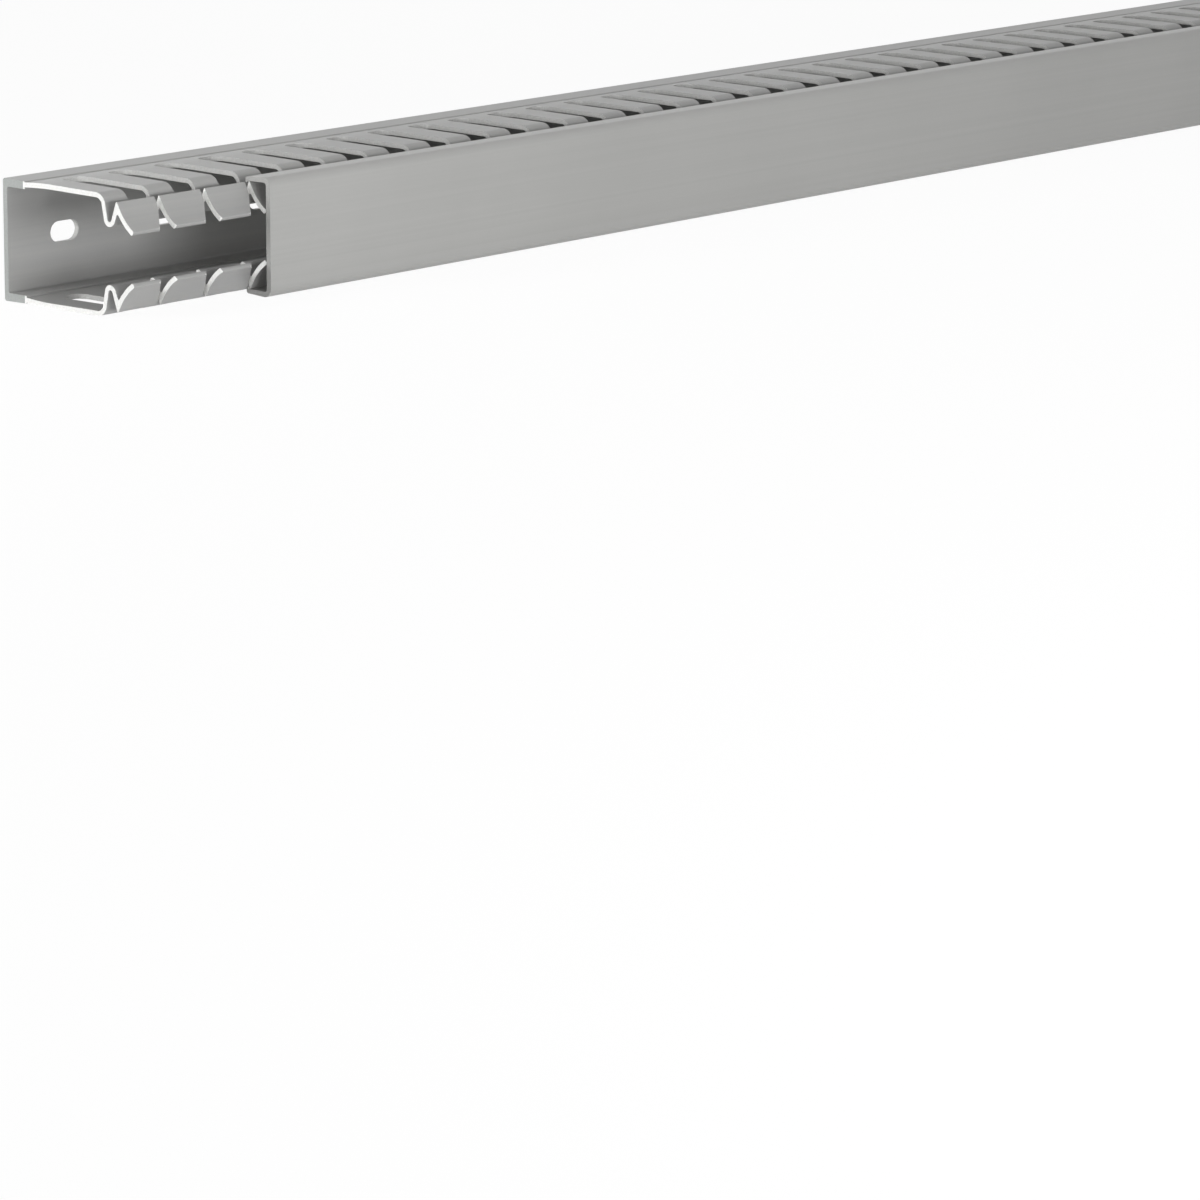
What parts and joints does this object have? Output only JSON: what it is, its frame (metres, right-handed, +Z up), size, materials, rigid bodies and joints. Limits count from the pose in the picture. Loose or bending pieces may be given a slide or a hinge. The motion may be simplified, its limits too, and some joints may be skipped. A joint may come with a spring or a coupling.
{
  "type": "slotted wire duct",
  "caption": "Slotted plastic wiring duct with punched side fingers, oblong fixing holes in the back and a clip-on cover slid back from one end.",
  "frame": {"origin": "middle of the duct's mounting back face, at the end that the cover leaves open", "axes": "+X along the duct towards the covered end, +Y out of the mounting back face, -Y out of the cover, +Z up from the lower slotted wall to the upper one"},
  "size_m": [0.536, 0.0394, 0.025],
  "materials": {
    "duct_plastic": "satin extruded rigid PVC, stone grey",
    "cover_plastic": "satin extruded rigid PVC, stone grey"
  },
  "bodies": {
    "base": {"duct_base": "duct_plastic"},
    "cover": {"duct_cover": "cover_plastic"}
  },
  "joints": [
    {"name": "cover_slide", "type": "slide", "parent": "base", "child": "cover", "axis": [1, 0, 0], "range_m": [-0.036, 0.2]}
  ]
}
